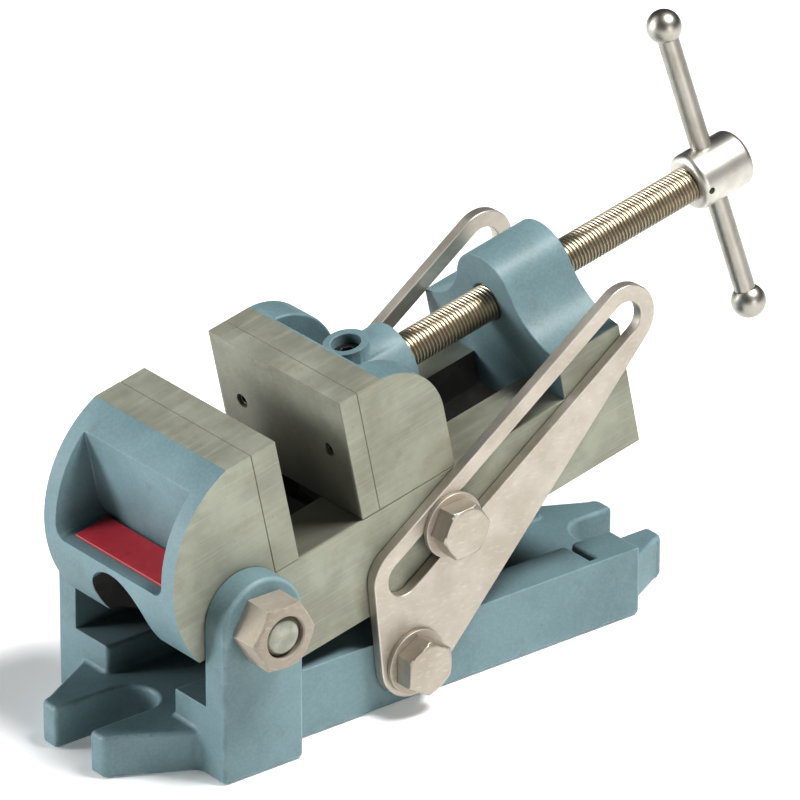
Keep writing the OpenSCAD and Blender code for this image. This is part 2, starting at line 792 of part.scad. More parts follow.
module pivot_bolt() {
    end_y = -ear_out - pivot_nut_h + pivot_end_sink;
    color(nickel) translate([0, 0, pivot_h]) {
        along_y(end_y + pivot_end_chamfer, ear_out + cut, pivot_d / 2);
        translate([0, end_y + pivot_end_chamfer, 0]) rotate([90, 0, 0])
            cylinder(h = pivot_end_chamfer, d1 = pivot_d, d2 = pivot_d - 2 * pivot_end_chamfer);
        translate([0, ear_out, 0]) rotate([-90, 30, 0]) hex_block(pivot_af, pivot_head_h);
    }
}

module pivot_nut() {
    color(nickel) translate([0, -ear_out, pivot_h]) rotate([90, 30, 0]) difference() {
        hex_block(pivot_af, pivot_nut_h);
        translate([0, 0, -cut]) cylinder(h = pivot_nut_h + 2 * cut, d = pivot_d);
        translate([0, 0, pivot_nut_h - nut_mouth])
            cylinder(h = nut_mouth + cut, r1 = pivot_d / 2, r2 = pivot_d / 2 + nut_mouth + cut);
    }
}

base();
vise_body();
fixed_jaw_plate();
fixed_jaw_screws();
label_plate();
moving_jaw();
moving_jaw_plate();
moving_jaw_screws();
keeper_plate();
keeper_screws();
retaining_screw();
lead_screw();
screw_head();
head_pin();
handle_bar();
upper_ball();
lower_ball();
near_arm();
far_arm();
arm_bolts();
arm_washers();
near_clamp_bolt();
near_clamp_washer();
far_clamp_bolt();
far_clamp_washer();
pivot_bolt();
pivot_nut();
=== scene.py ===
import json
import math

import bmesh
import bpy
from mathutils import Matrix, Vector
from mathutils.geometry import intersect_point_line


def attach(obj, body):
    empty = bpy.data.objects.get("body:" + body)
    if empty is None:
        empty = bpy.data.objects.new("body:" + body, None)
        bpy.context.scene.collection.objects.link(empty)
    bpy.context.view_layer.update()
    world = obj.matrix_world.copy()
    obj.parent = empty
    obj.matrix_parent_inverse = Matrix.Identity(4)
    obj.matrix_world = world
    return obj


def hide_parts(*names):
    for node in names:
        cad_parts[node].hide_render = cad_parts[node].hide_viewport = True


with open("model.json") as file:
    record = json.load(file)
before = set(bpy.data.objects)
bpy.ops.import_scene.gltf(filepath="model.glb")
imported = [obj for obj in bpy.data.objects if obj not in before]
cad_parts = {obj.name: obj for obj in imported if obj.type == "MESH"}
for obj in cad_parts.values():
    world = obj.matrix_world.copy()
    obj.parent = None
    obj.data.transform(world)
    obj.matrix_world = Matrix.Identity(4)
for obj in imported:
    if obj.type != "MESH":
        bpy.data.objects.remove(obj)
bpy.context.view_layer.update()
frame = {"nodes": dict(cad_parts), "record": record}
print("frame loaded:", len(frame["nodes"]), "nodes")

mm = 0.001
bodyOf = {node: body for body, nodes in frame["record"]["behaviour"]["bodies"].items() for node in nodes}

tiltedBed = {"angle": math.radians(12), "pivotHeight": 58.7, "screwHeight": 35.2}  # at rest, in mm
pivot = Vector((0, 0, tiltedBed["pivotHeight"] * mm))
bedTurn = Matrix.Rotation(tiltedBed["angle"], 3, "Y")  # from the shared frame to the tilted bed's


def onBed(point):  # a point at rest, in the tilted bed's frame, in mm
    return bedTurn @ (point - pivot) / mm


def fromBed(x, y, z):  # the way back, in metres
    return bedTurn.transposed() @ (Vector((x, y, z)) * mm) + pivot


def mathNode(operation, swap=False):  # an operator that adds one Math node
    def apply(signal, other):
        pair = (other, signal) if swap else (signal, other)
        return signal.finish.add("ShaderNodeMath", {"operation": operation}, dict(enumerate(pair)))
    return apply


class Signal:  # a node's socket, for use in expressions
    def __init__(self, finish, socket):
        self.finish, self.socket = finish, socket

    __add__, __radd__ = mathNode("ADD"), mathNode("ADD", swap=True)
    __sub__, __rsub__ = mathNode("SUBTRACT"), mathNode("SUBTRACT", swap=True)
    __mul__, __rmul__ = mathNode("MULTIPLY"), mathNode("MULTIPLY", swap=True)
    __pow__, __rpow__ = mathNode("POWER"), mathNode("POWER", swap=True)

    def band(self, low, high):  # smooth step from 0 at low to 1 at high
        return self.finish.add("ShaderNodeMapRange", {"interpolation_type": "SMOOTHSTEP"},
                               {"Value": self, "From Min": low, "From Max": high})


class Finish:
    def __init__(self, name):
        self.material = bpy.data.materials.new(name)
        self.material.use_nodes = True
        self.tree = self.material.node_tree
        self.tree.nodes.clear()

    def add(self, kind, settings=None, inputs=None, out=0):
        node = self.tree.nodes.new(kind)
        for key, value in (settings or {}).items():
            setattr(node, key, value)
        for key, value in (inputs or {}).items():
            if isinstance(value, Signal):
                self.tree.links.new(value.socket, node.inputs[key])
            else:
                node.inputs[key].default_value = value
        return Signal(self, node.outputs[out]) if node.outputs else None

    def place(self):  # coordinates in the shared frame, at rest
        return self.add("ShaderNodeTexCoord", out="Object")

    def bed(self):  # coordinates along the tilted bed
        away = bedTurn @ -pivot
        return self.add("ShaderNodeMapping", {"vector_type": "POINT"},
                        {"Vector": self.place(), "Rotation": (0, tiltedBed["angle"], 0), "Location": away})

    def axis(self, vector, name):
        return self.add("ShaderNodeSeparateXYZ", None, {0: vector}, out=name)

    def noise(self, vector, scale, detail=2, roughness=0.5):
        return self.add("ShaderNodeTexNoise", {"noise_dimensions": "3D"},
                        {"Vector": vector, "Scale": scale, "Detail": detail, "Roughness": roughness})

    def patches(self, vector, pattern, levels):  # noise, as a mask between two levels
        return self.noise(vector, *pattern).band(*levels)

    def grain(self, vector, factors, detail, roughness=0.5):  # noise drawn out into lines
        drawn = self.add("ShaderNodeVectorMath", {"operation": "MULTIPLY"}, {0: vector, 1: factors})
        return self.noise(drawn, 1, detail, roughness)

    def cells(self, vector, scale):
        return self.add("ShaderNodeTexVoronoi", {"feature": "F1"}, {"Vector": vector, "Scale": scale},
                        out="Distance")

    def dots(self, vector, scale, levels):  # round specks in the middle of the cells
        return self.cells(vector, scale).band(*levels)

    def edge(self):  # 1 on rounded edges, 0 on the faces between them
        return self.add("ShaderNodeAttribute", {"attribute_name": "edgeRound"}, out="Fac")

    def mix(self, factor, first, second):  # 6, 7 and 2 are the Mix node's colour sockets
        first, second = (color if isinstance(color, Signal) else (*color, 1) for color in (first, second))
        return self.add("ShaderNodeMix", {"data_type": "RGBA"}, {0: factor, 6: first, 7: second}, out=2)

    def bump(self, height, strength, distance):
        return self.add("ShaderNodeBump", None,
                        {"Height": height, "Strength": strength, "Distance": distance})

    def surface(self, sockets):
        shader = self.add("ShaderNodeBsdfPrincipled", None, sockets)
        self.add("ShaderNodeOutputMaterial", None, {"Surface": shader})
        return self.material


# in the finishes, a noise is (scale, detail, roughness) and a grain (factors, detail, roughness),
# patches and dots end with their two levels, and bump is (strength, distance)

enamel = {  # blue-grey hammered paint over cast iron
    "deep": (0.151, 0.232, 0.250), "main": (0.196, 0.290, 0.314), "pale": (0.30, 0.42, 0.46),
    "iron": (0.20, 0.20, 0.185), "grime": (0.13, 0.125, 0.10), "coat": 0.12, "coatRoughness": 0.30,
    "lumps": (110, 3), "grit": (1900, 3, 0.6), "blotch": (22, 3, 0.55), "hammer": 820,
    "edgeHighlightLevels": (0.30, 0.62), "blotchLevels": (0.36, 0.66), "hammerLevels": (0.2, 0.9),
    "wornEdge": (0.55, 0.95), "chips": ((260, 4, 0.7), (0.62, 0.68)), "pores": (210, (0.10, 0.05)),
    "dirt": ((75, 5, 0.65), (0.58, 0.76)), "specks": (120, (0.09, 0.04)),
    # edge in show is the strength of the painted edge highlight
    "show": {"hammer": 0.14, "edge": 0.45, "chips": 0.8, "pores": 0.5, "specks": 0.8, "grime": 0.3},
    "rough": {"plain": 0.45, "blotch": 0.16, "grit": 0.10, "chips": 0.15},
    "height": {"hammer": 0.35, "grit": 0.15, "lumps": 0.8, "pores": 0.4}, "bump": (0.30, 0.4 * mm),
}


def makeEnamel():
    look, show, rough, height = enamel, enamel["show"], enamel["rough"], enamel["height"]
    finish = Finish("hammeredEnamel")
    place, edge = finish.place(), finish.edge()
    lumps, grit, blotch = (finish.noise(place, *look[name]) for name in ("lumps", "grit", "blotch"))
    hammer, pores = finish.cells(place, look["hammer"]), finish.dots(place, *look["pores"])
    chips = edge.band(*look["wornEdge"]) * finish.patches(place, *look["chips"])
    grime = finish.patches(place, *look["dirt"]) + finish.dots(place, *look["specks"]) * show["specks"]
    base = finish.mix(blotch.band(*look["blotchLevels"]), look["deep"], look["main"])
    base = finish.mix(hammer.band(*look["hammerLevels"]) * show["hammer"], base, look["pale"])
    # painted highlight: paler paint on the rounded edges, broken up by the lumps noise
    base = finish.mix(edge * lumps.band(*look["edgeHighlightLevels"]) * show["edge"], base, look["pale"])
    base = finish.mix(chips * show["chips"], base, look["iron"])
    base = finish.mix(pores * show["pores"], base, look["deep"])
    base = finish.mix(grime * show["grime"], base, look["grime"])
    dull = rough["plain"] + rough["blotch"] * blotch + rough["grit"] * grit + rough["chips"] * chips
    high = (height["hammer"] * hammer + height["grit"] * grit + height["lumps"] * lumps
            - height["pores"] * pores)
    return finish.surface({"Base Color": base, "Roughness": dull,
                           "Coat Weight": look["coat"], "Coat Roughness": look["coatRoughness"],
                           "Normal": finish.bump(high, *look["bump"])})


groundIron = {  # machined bare iron of the jaws and the bed
    "main": (0.408, 0.424, 0.355), "dull": (0.304, 0.312, 0.258), "bright": (0.51, 0.526, 0.463),
    # the oil colour is painted shade, not oil: it darkens the ground faces between the jaws, lower down,
    # where the jaws shade each other
    "stain": (0.245, 0.209, 0.149), "oil": (0.085, 0.080, 0.065), "metallic": 0.45,
    "strokes": ((28, 420, 900), 3, 0.6), "cross": ((520, 60, 520), 2, 0.6), "cloud": (34, 4, 0.6),
    "cloudLevels": (0.34, 0.68), "strokeLevels": (0.46, 0.74),
    "stains": ((13, 3, 0.55), (0.56, 0.74)), "mottle": ((95, 5, 0.65), (0.50, 0.72)),
    "pits": (330, (0.13, 0.06)), "pitted": ((60, 2), (0.45, 0.62)),
    "jawShadeEnd": (66 * mm, 58 * mm), "jawShadeSide": (37.8 * mm, 36 * mm),  # where the painted shade between the jaws is none, and where it is full
    "jawShadeTop": (55 * mm, 18 * mm),
    # oil in show is the strength of that painted shade between the jaws
    "show": {"strokes": 0.32, "stains": 0.3, "mottle": 0.22, "pits": 0.55, "oil": 0.6, "edge": 0.4},
    "rough": {"plain": 0.40, "cloud": 0.22, "strokes": 0.12, "edge": 0.2},
    "height": {"strokes": 0.4, "cross": 0.2, "pits": 1.2, "mottle": 0.3}, "bump": (0.30, 0.12 * mm),
}


def makeGroundIron():
    look, show, rough = groundIron, groundIron["show"], groundIron["rough"]
    height = look["height"]
    finish = Finish("groundIron")
    bed, edge = finish.bed(), finish.edge()
    strokes, cross = finish.grain(bed, *look["strokes"]), finish.grain(bed, *look["cross"])  # grinding lines
    cloud = finish.noise(bed, *look["cloud"])
    stains, mottle = finish.patches(bed, *look["stains"]), finish.patches(bed, *look["mottle"])
    pits = finish.dots(bed, *look["pits"]) * finish.patches(bed, *look["pitted"])
    x, y, z = (finish.axis(bed, name) for name in "XYZ")
    jawShadeSides = [reach * reach for reach in look["jawShadeSide"]]
    oil = x.band(*look["jawShadeEnd"]) * (y * y).band(*jawShadeSides) * z.band(*look["jawShadeTop"])  # painted shade on the bed and jaw faces between the jaws
    base = finish.mix(cloud.band(*look["cloudLevels"]), look["dull"], look["main"])
    base = finish.mix(strokes.band(*look["strokeLevels"]) * show["strokes"], base, look["bright"])
    base = finish.mix(stains * show["stains"] + mottle * show["mottle"], base, look["stain"])
    base = finish.mix(pits * show["pits"], base, look["stain"])
    # painted shade: darkens the bed and jaw faces between the jaws
    base = finish.mix(oil * show["oil"], base, look["oil"])
    base = finish.mix(edge * show["edge"], base, look["stain"])
    dull = rough["plain"] + rough["cloud"] * cloud + rough["strokes"] * strokes + rough["edge"] * edge
    high = (height["strokes"] * strokes + height["cross"] * cross - height["pits"] * pits
            - height["mottle"] * mottle)
    return finish.surface({"Base Color": base, "Roughness": dull, "Metallic": look["metallic"],
                           "Normal": finish.bump(high, *look["bump"])})


plated = {  # warm nickel-coloured plating of arms, bolts and nut
    "main": (0.575, 0.533, 0.477), "dim": (0.447, 0.404, 0.345), "bright": (0.72, 0.69, 0.65),
    "tarnish": (0.36, 0.29, 0.20), "metallic": 0.86,
    "cloud": (48, 4, 0.6), "cloudLevels": (0.30, 0.70),
    "brush": ((240, 1500, 700), 3, 0.65), "brushLevels": (0.50, 0.78),
    "spots": (170, (0.16, 0.05)), "spotted": ((40, 2), (0.50, 0.66)),
    "show": {"brush": 0.4, "spots": 0.45, "edge": 0.5},
    "rough": {"plain": 0.33, "cloud": 0.20, "brush": 0.10, "dim": 0.15},
    "height": {"brush": 0.5, "cloud": 0.6}, "bump": (0.22, 0.1 * mm),
}


def makePlated(name, dimming, dulling=0):
    look, show, rough, height = plated, plated["show"], plated["rough"], plated["height"]
    finish = Finish(name)
    place, edge = finish.place(), finish.edge()
    cloud, brush = finish.noise(place, *look["cloud"]), finish.grain(place, *look["brush"])
    spots = finish.dots(place, *look["spots"]) * finish.patches(place, *look["spotted"])
    base = finish.mix(cloud.band(*look["cloudLevels"]), look["dim"], look["main"])
    base = finish.mix(dimming, base, look["dim"])
    base = finish.mix(brush.band(*look["brushLevels"]) * show["brush"], base, look["bright"])
    base = finish.mix(spots * show["spots"], base, look["tarnish"])
    base = finish.mix(edge * show["edge"], base, look["bright"])
    plain = rough["plain"] + rough["dim"] * dimming + dulling
    dull = plain + rough["cloud"] * cloud + rough["brush"] * brush
    high = height["brush"] * brush + height["cloud"] * cloud - spots
    return finish.surface({"Base Color": base, "Roughness": dull, "Metallic": look["metallic"],
                           "Normal": finish.bump(high, *look["bump"])})


rawIronAndShade = {  # unpainted cast surface inside the body and in its bores, made near black as painted shade of those hollows
    "main": (0.045, 0.043, 0.040), "dust": (0.085, 0.082, 0.075), "rust": (0.070, 0.040, 0.024),
    "dusty": ((55, 4, 0.6), (0.40, 0.70)), "rusty": ((21, 3), (0.52, 0.72)), "rustShow": 0.6,
    "sand": (900, 3, 0.7), "rough": {"plain": 0.72, "sand": 0.2}, "bump": (0.5, 0.4 * mm),
}


def makeRawIronAndShade():
    look, rough = rawIronAndShade, rawIronAndShade["rough"]
    finish = Finish("rawCastIronAndShade")
    place = finish.place()
    sand = finish.noise(place, *look["sand"])
    base = finish.mix(finish.patches(place, *look["dusty"]), look["main"], look["dust"])
    base = finish.mix(finish.patches(place, *look["rusty"]) * look["rustShow"], base, look["rust"])
    return finish.surface({"Base Color": base, "Roughness": rough["plain"] + rough["sand"] * sand,
                           "Normal": finish.bump(sand, *look["bump"])})


oiledSteel = {  # pivot bolt
    "main": (0.30, 0.31, 0.26), "worn": (0.46, 0.46, 0.40), "oil": (0.085, 0.075, 0.06), "metallic": 0.7,
    "cloud": (120, 4, 0.6), "cloudLevels": (0.35, 0.65), "oilLevels": (0.1, 0.5), "oilShow": 0.8,
    "turned": ((300, 2200, 300), 2, 0.6), "turnedHeight": 0.6,
    "rough": {"plain": 0.36, "cloud": 0.2}, "bump": (0.2, 0.1 * mm),
}


def makeOiledSteel():
    look, rough = oiledSteel, oiledSteel["rough"]
    finish = Finish("oiledSteel")
    place = finish.place()
    cloud, turned = finish.noise(place, *look["cloud"]), finish.grain(place, *look["turned"])
    base = finish.mix(cloud.band(*look["cloudLevels"]), look["main"], look["worn"])
    base = finish.mix(finish.edge().band(*look["oilLevels"]) * look["oilShow"], base, look["oil"])
    high = look["turnedHeight"] * turned + cloud
    return finish.surface({"Base Color": base, "Roughness": rough["plain"] + rough["cloud"] * cloud,
                           "Metallic": look["metallic"], "Normal": finish.bump(high, *look["bump"])})


brightSteel = {  # polished handle bar, balls and pin, and the head of the screw, whose lighter tone is partly a painted highlight
    "bar": {"main": (0.485, 0.467, 0.425), "smudge": (0.32, 0.295, 0.25), "rough": 0.31},
    # the head's tone is the bar steel made lighter: a painted highlight
    "head": {"main": (0.67, 0.652, 0.612), "smudge": (0.47, 0.445, 0.40), "rough": 0.34},
    "cloud": (60, 4, 0.6), "cloudLevels": (0.42, 0.74),
    "nicks": (260, (0.10, 0.04)), "nicked": ((45, 2), (0.52, 0.66)),
    "turned": ((1900, 160, 160), 2, 0.6), "turnedHeight": 0.5,
    "show": {"cloud": 0.6, "nicks": 0.3}, "rough": {"cloud": 0.14, "turned": 0.06}, "bump": (0.14, 0.1 * mm),
}


def makeBrightSteel(name, tone):
    look, show, rough = brightSteel, brightSteel["show"], brightSteel["rough"]
    finish = Finish(name)
    bed = finish.bed()
    cloud, turned = finish.noise(bed, *look["cloud"]), finish.grain(bed, *look["turned"])
    nicks = finish.dots(bed, *look["nicks"]) * finish.patches(bed, *look["nicked"])
    smudge = cloud.band(*look["cloudLevels"]) * show["cloud"] + nicks * show["nicks"]
    dull = tone["rough"] + rough["cloud"] * cloud + rough["turned"] * turned
    high = look["turnedHeight"] * turned - nicks
    return finish.surface({"Base Color": finish.mix(smudge, tone["main"], tone["smudge"]),
                           "Roughness": dull, "Metallic": 1,
                           "Normal": finish.bump(high, *look["bump"])})


screwSteel = {  # oiled thread, dark in its roots
    "crest": (0.52, 0.465, 0.375), "root": (0.25, 0.205, 0.14), "oil": (0.38, 0.325, 0.245),
    "metallic": 0.95, "depth": (6.2 * mm, 6.7 * mm),  # radius at the root and at the crest
    "cloud": (70, 4, 0.6), "oilLevels": (0.45, 0.70), "oilShow": 0.5, "turned": ((2200, 300, 300), 2),
    "rough": {"plain": 0.27, "cloud": 0.20, "turned": 0.10}, "bump": (0.2, 0.1 * mm),
}


def makeScrewSteel():
    look, rough = screwSteel, screwSteel["rough"]
    finish = Finish("screwSteel")
    bed = finish.bed()
    y, z = finish.axis(bed, "Y"), finish.axis(bed, "Z") - tiltedBed["screwHeight"] * mm
    radius = (y * y + z * z) ** 0.5
    cloud, turned = finish.noise(bed, *look["cloud"]), finish.grain(bed, *look["turned"])
    base = finish.mix(radius.band(*look["depth"]), look["root"], look["crest"])
    base = finish.mix(cloud.band(*look["oilLevels"]) * look["oilShow"], base, look["oil"])
    dull = rough["plain"] + rough["cloud"] * cloud + rough["turned"] * turned
    return finish.surface({"Base Color": base, "Roughness": dull, "Metallic": look["metallic"],
                           "Normal": finish.bump(turned, *look["bump"])})


blackSteel = {  # black oxide of the small screws and the keeper plate
    "main": (0.055, 0.055, 0.058), "worn": (0.22, 0.21, 0.20), "metallic": 0.8,
    "cloud": (160, 3, 0.6), "cloudLevels": (0.55, 0.75), "grit": (1400, 2),
    "show": {"edge": 0.7, "cloud": 0.4}, "rough": {"plain": 0.32, "cloud": 0.25}, "bump": (0.15, 0.1 * mm),
}


def makeBlackSteel():
    look, show, rough = blackSteel, blackSteel["show"], blackSteel["rough"]
    finish = Finish("blackOxideSteel")
    place = finish.place()
    cloud, grit = finish.noise(place, *look["cloud"]), finish.noise(place, *look["grit"])
    worn = finish.edge() * show["edge"] + cloud.band(*look["cloudLevels"]) * show["cloud"]
    return finish.surface({"Base Color": finish.mix(worn, look["main"], look["worn"]),
                           "Roughness": rough["plain"] + rough["cloud"] * cloud,
                           "Metallic": look["metallic"], "Normal": finish.bump(grit, *look["bump"])})


redLabel = {  # bare red plate in the nose pocket
    "main": (0.64, 0.015, 0.048), "faded": (0.70, 0.034, 0.068), "dark": (0.44, 0.013, 0.032),
    "metal": (0.45, 0.42, 0.38), "specular": 0.3,
    "cloud": (85, 4, 0.6), "cloudLevels": (0.35, 0.70), "dirt": ((240, 3, 0.65), (0.55, 0.75)),
    "scratches": ((2400, 120, 300), 3, 0.7), "scratchLevels": (0.66, 0.74),
    "show": {"dirt": 0.5, "scratches": 0.25, "edge": 0.6},
    "rough": {"plain": 0.42, "cloud": 0.22, "dirt": 0.1}, "dirtHeight": 0.4, "bump": (0.15, 0.2 * mm),
}


def makeRedLabel():
    look, show, rough = redLabel, redLabel["show"], redLabel["rough"]
    finish = Finish("redLabelEnamel")
    bed = finish.bed()
    cloud, dirt = finish.noise(bed, *look["cloud"]), finish.patches(bed, *look["dirt"])
    scratches = finish.grain(bed, *look["scratches"]).band(*look["scratchLevels"])
    base = finish.mix(cloud.band(*look["cloudLevels"]), look["main"], look["faded"])
    base = finish.mix(dirt * show["dirt"], base, look["dark"])
    base = finish.mix(scratches * show["scratches"], base, look["faded"])
    base = finish.mix(finish.edge() * show["edge"], base, look["metal"])
    dull = rough["plain"] + rough["cloud"] * cloud + rough["dirt"] * dirt
    high = cloud + look["dirtHeight"] * dirt
    return finish.surface({"Base Color": base, "Roughness": dull, "Specular IOR Level": look["specular"],
                           "Normal": finish.bump(high, *look["bump"])})


looks = {
    "enamel": makeEnamel(),
    "ground": makeGroundIron(),
    "rawAndShade": makeRawIronAndShade(),
    "plated": makePlated("nickelPlating", dimming=0),
    "washer": makePlated("washerPlating", dimming=0.75),
    "nut": makePlated("nutPlating", dimming=0.4, dulling=0.26),
    "oiled": makeOiledSteel(),
    "bright": makeBrightSteel("brightSteel", brightSteel["bar"]),
    "head": makeBrightSteel("headSteelWithPaintedHighlight", brightSteel["head"]),
    "screw": makeScrewSteel(),
    "black": makeBlackSteel(),
    "red": makeRedLabel(),
}
castingLooks = ["enamel", "ground", "rawAndShade"]
painted, machined, hollow = range(len(castingLooks))  # their places in that list
print("finishes made:", len(looks))


def sceneObject(name, data):
    piece = bpy.data.objects.new(name, data)
    bpy.context.scene.collection.objects.link(piece)
    return piece


def bake(piece):  # the piece's mesh with its modifiers worked in
    graph = bpy.context.evaluated_depsgraph_get()
    mesh = bpy.data.meshes.new_from_object(piece.evaluated_get(graph), depsgraph=graph)
    piece.modifiers.clear()
    old, piece.data = piece.data, mesh
    bpy.data.meshes.remove(old)


def settle(piece, node):  # rides with the node's body and replaces the node
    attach(piece, bodyOf[node])
    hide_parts(node)


rounding = {  # lengths in mm
    "steps": 3, "least": 0.1, "longEdge": 2, "share": 0.3,  # share of the narrower face beside an edge
    "weld": 0.002, "flatAngle": math.radians(0.3), "sharpAngle": math.radians(31),
    "smoothAngle": math.radians(36), "turnedAngle": math.radians(40), "fade": 0.25,
    "foldCosine": -0.5, "speck": 0.01,  # a fold, and the area in square mm below which it is left
    "tries": 12, "ease": 0.6, "reach": 1.5, "slack": 0.3,  # smaller rounds near a fold
}


def plainShape(node, faceFinish):
    bm = bmesh.new()
    bm.from_mesh(frame["nodes"][node].data)
    bmesh.ops.remove_doubles(bm, verts=bm.verts, dist=rounding["weld"] * mm)
    bmesh.ops.dissolve_limit(bm, angle_limit=rounding["flatAngle"], verts=bm.verts, edges=bm.edges)
    bm.normal_update()
    for face in bm.faces:
        face.material_index = faceFinish(face)
    bm.edges.layers.float.new("bevel_weight_edge")
    return bm


def roomBeside(edge):  # how far the narrower face beside an edge reaches from it, in mm
    foot, along = edge.verts[0].co, (edge.verts[1].co - edge.verts[0].co).normalized()
    return min(max((v.co - foot).cross(along).length for v in face.verts) for face in edge.link_faces) / mm


def firstRadii(bm, edgeRadius):  # the wanted round of each sharp edge, as far as its faces have room
    radii = {}
    for edge in bm.edges:
        if len(edge.link_faces) == 2 and edge.calc_face_angle(0) > rounding["sharpAngle"]:
            radius = min(edgeRadius(edge), roomBeside(edge) * rounding["share"])
            if radius > rounding["least"]:
                radii[edge] = radius
    return radii


def runsOfEdges(edges):  # rounded edges that run on into each other without a branch
    atVert = {}
    for edge in edges:
        for vert in edge.verts:
            atVert.setdefault(vert, []).append(edge)
    runOf = {}
    for first in edges:
        waiting = [] if first in runOf else [first]
        while waiting:
            edge = waiting.pop()
            runOf[edge] = first
            for vert in edge.verts:
                if len(atVert[vert]) == 2:
                    waiting += [other for other in atVert[vert] if other not in runOf]
    return runOf


def withRounds(bm, radii, name, finishes):
    weight = bm.edges.layers.float["bevel_weight_edge"]
    largest = max(radii.values(), default=rounding["least"])
    for edge, radius in radii.items():
        edge[weight] = radius / largest if radius > rounding["least"] else 0
    mesh = bpy.data.meshes.new(name)
    bm.to_mesh(mesh)
    piece = sceneObject(name, mesh)
    for finish in finishes:
        mesh.materials.append(looks[finish])
    mesh.materials.append(None)  # marks the rounded edges while they are made
    bevel = piece.modifiers.new("rounds", "BEVEL")
    bevel.limit_method, bevel.offset_type = "WEIGHT", "OFFSET"
    bevel.width, bevel.segments = largest * mm, rounding["steps"]
    bevel.use_clamp_overlap = bevel.loop_slide = False
    bevel.miter_outer = "MITER_ARC"
    bevel.material = len(finishes)
    bake(piece)
    return piece


def foldedSpots(mesh):  # corners of faces that fold back over their neighbours
    bm = bmesh.new()
    bm.from_mesh(mesh)
    bmesh.ops.triangulate(bm, faces=bm.faces)
    spots = []
    for edge in bm.edges:
        pair = edge.link_faces
        if len(pair) == 2 and pair[0].normal.dot(pair[1].normal) < rounding["foldCosine"]:
            small = min(pair, key=lambda face: face.calc_area())
            if small.calc_area() > rounding["speck"] * mm * mm:
                spots += [vert.co.copy() for vert in small.verts]
    bm.free()
    return spots


def beside(edge, radius, spots):  # one of the spots is within the round's reach of the edge
    first, last = (vert.co for vert in edge.verts)
    near = (radius * rounding["reach"] + rounding["slack"]) * mm
    for spot in spots:
        foot, share = intersect_point_line(spot, first, last)
        foot = first if share < 0 else last if share > 1 else foot
        if (spot - foot).length < near:
            return True
    return False


def markEdges(piece, mark):  # gives rounded edges their value, and a finish from the faces beside them
    bm = bmesh.new()
    bm.from_mesh(piece.data)
    value = bm.verts.layers.float.new("edgeRound")
    for vert in bm.verts:
        around = [face.material_index == mark for face in vert.link_faces]
        vert[value] = 1 if all(around) else rounding["fade"] * sum(around) / len(around)
    waiting = [face for face in bm.faces if face.material_index == mark]
    while waiting:
        found = {}
        for face in waiting:
            beyond = {other.material_index for edge in face.edges for other in edge.link_faces} - {mark}
            if beyond:
                found[face] = machined if machined in beyond else min(beyond)
        if not found:
            break
        for face, finish in found.items():
            face.material_index = finish
        waiting = [face for face in waiting if face not in found]
    for face in waiting:
        face.material_index = 0
    bm.to_mesh(piece.data)
    bm.free()
    piece.data.materials.pop(index=mark)


def flatFaces(piece):  # smooth rounds next to flat faces that stay flat
    piece.data.shade_smooth()
    piece.data.set_sharp_from_angle(angle=rounding["smoothAngle"])
    flats = piece.modifiers.new("flats", "WEIGHTED_NORMAL")
    flats.keep_sharp = True


def roundedCopy(node, name, finishes, faceFinish, edgeRadius):
    bm = plainShape(node, faceFinish)
    radii = firstRadii(bm, edgeRadius)
    runOf = runsOfEdges(radii)
    for attempt in range(rounding["tries"]):
        piece = withRounds(bm, radii, name, finishes)
        spots = foldedSpots(piece.data)
        if not spots or attempt + 1 == rounding["tries"]:
            break
        bpy.data.meshes.remove(piece.data)  # its object goes with it
        tight = {runOf[edge] for edge, radius in radii.items() if beside(edge, radius, spots)}
        for edge in radii:  # smaller rounds along the whole run
            if runOf[edge] in tight:
                radii[edge] *= rounding["ease"]
    bm.free()
    markEdges(piece, len(finishes))
    flatFaces(piece)
    settle(piece, node)


def oneFinish(face):
    return 0


def evenRadius(radius):
    return lambda edge: radius


def longRadius(radius):  # only the long edges of hexagon pieces, not the curves where their faces end
    return lambda edge: radius if edge.calc_length() > rounding["longEdge"] * mm else 0


def wideFaces(edge, area):  # both faces beside the edge are larger than this, in square mm
    return min(face.calc_area() for face in edge.link_faces) > area * mm * mm


def nearHole(middle, holes):  # holes across a casting: x, z, reach
    return any(math.hypot(middle.x - x, middle.z - z) < reach for x, z, reach in holes)


tiltingCasting = {  # body and moving jaw, in the bed's frame, in mm
    "halfWidth": 38, "bedHeight": 8.4, "jawTop": 58.8, "slack": 0.06, "flatCosine": 0.99,
    "insideHalf": 36, "noseAxis": (19.6, 13.7), "noseRadius": 47.5, "noseSlack": 1,
    "castRound": 1.6, "groundRound": 0.35, "pocketRound": 0.7, "cove": 0.9, "coveArea": 40,
    "bossX": 88, "bossReach": 10, "bossRound": 0.5, "holes": [(0, 0, 9), (89.3, -9.5, 8)],
}


def fromNose(spot):  # how far a point is outside the nose's round face
    x, z = tiltingCasting["noseAxis"]
    return math.hypot(spot.x - x, spot.z - z) - tiltingCasting["noseRadius"]


def bedFinish(face):  # which of the casting's finishes a face has
    casting = tiltingCasting
    spot, way = onBed(face.calc_center_median()), bedTurn @ face.normal
    fromTop = min(abs(spot.z - casting["bedHeight"]), abs(spot.z - casting["jawTop"]))
    fromSide = abs(abs(spot.y) - casting["halfWidth"])
    if abs(way.y) > casting["flatCosine"] and fromSide < casting["slack"]:
        return machined
    if way.z > casting["flatCosine"] and fromTop < casting["slack"]:
        return machined
    nose = spot.x < casting["noseAxis"][0] and fromNose(spot) > -casting["noseSlack"]
    inside = abs(spot.y) < casting["insideHalf"] and spot.z < casting["bedHeight"]
    # hollow faces take the near-black unpainted iron, which is partly painted shade
    return hollow if inside and not nose else painted


